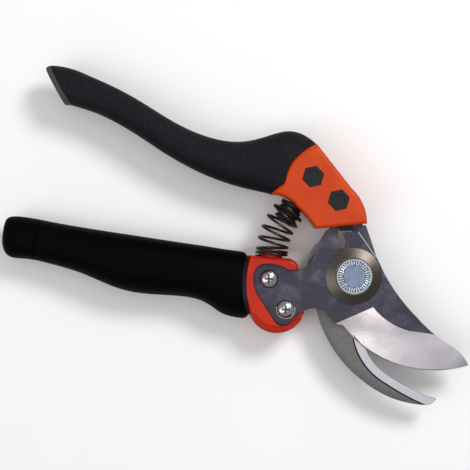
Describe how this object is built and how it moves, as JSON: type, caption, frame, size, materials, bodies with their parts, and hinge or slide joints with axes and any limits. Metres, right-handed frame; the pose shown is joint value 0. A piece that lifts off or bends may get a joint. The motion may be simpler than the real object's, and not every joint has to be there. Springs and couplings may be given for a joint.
{
  "type": "bypass pruner",
  "caption": "One-hand bypass pruner with a curved cutting blade over a hooked counter blade, a moulded upper grip, a turning lower grip, a return spring and a thumb lock.",
  "frame": {"origin": "on the pivot bolt's axis, in the plane where the two blades slide on each other", "axes": "+Z along the pivot axis towards the bolt head and the cutting blade, -X towards the handles, the hook towards -Y; pruner at rest with its jaws open"},
  "size_m": [0.1962, 0.1432, 0.0241],
  "materials": {
    "coated_steel": "dark satin plate, ground silver bevel",
    "hook_steel": "satin plate with a polished lip",
    "orange_frame": "satin orange coating",
    "red_hub": "satin red moulding",
    "charcoal_grip": "fine matte texture",
    "black_grip": "soft matte",
    "black_rubber": "matte",
    "spring_steel": "dark oiled wire",
    "zinc": "bright zinc plating",
    "brown_washer": "turned, brushed round",
    "black_fastener": "black oxide",
    "black_plastic": "moulded",
    "nylon": "natural nylon"
  },
  "bodies": {
    "upper_lever": {"counter_blade": "hook_steel", "upper_handle_frame": "orange_frame", "upper_grip": "charcoal_grip", "counter_blade_nut_1": "black_fastener", "counter_blade_nut_2": "black_fastener", "counter_blade_screw_1": "black_fastener", "counter_blade_screw_2": "black_fastener", "spring_buffer": "black_rubber", "return_spring": "spring_steel", "pivot_bolt": "zinc", "pivot_cone_washer": "brown_washer", "pivot_spring_washer": "zinc", "pivot_nut": "zinc"},
    "lower_lever": {"cutting_blade": "coated_steel", "lower_handle_hub": "red_hub", "blade_screw_1": "zinc", "blade_screw_2": "zinc", "blade_nut_1": "zinc", "blade_nut_2": "zinc", "grip_spindle": "zinc", "thrust_washer": "nylon", "spindle_washer": "zinc", "spindle_screw": "zinc"},
    "turning_grip": {"grip_sleeve_core": "black_plastic", "turning_grip": "black_grip", "grip_end_cap": "black_grip"},
    "lock_slide": {"lock_tongue": "black_plastic", "lock_button": "black_plastic"}
  },
  "joints": [
    {"name": "jaw_pivot", "type": "hinge", "parent": "upper_lever", "child": "lower_lever", "pos_m": [0, 0, 0], "axis": [0, 0, 1], "range_deg": [-18, 0], "stiffness_Nm_per_rad": 2.6, "springref_deg": 14.32, "deforming": ["return_spring"]},
    {"name": "grip_spin", "type": "hinge", "parent": "lower_lever", "child": "turning_grip", "pos_m": [-0.0121, -0.0034, -0.0035], "axis": [-0.9893, 0.1461, 0], "range_deg": [-35, 35]},
    {"name": "lock_slide", "type": "slide", "parent": "upper_lever", "child": "lock_slide", "axis": [0, 1, 0], "range_m": [0, 0.0025]}
  ]
}
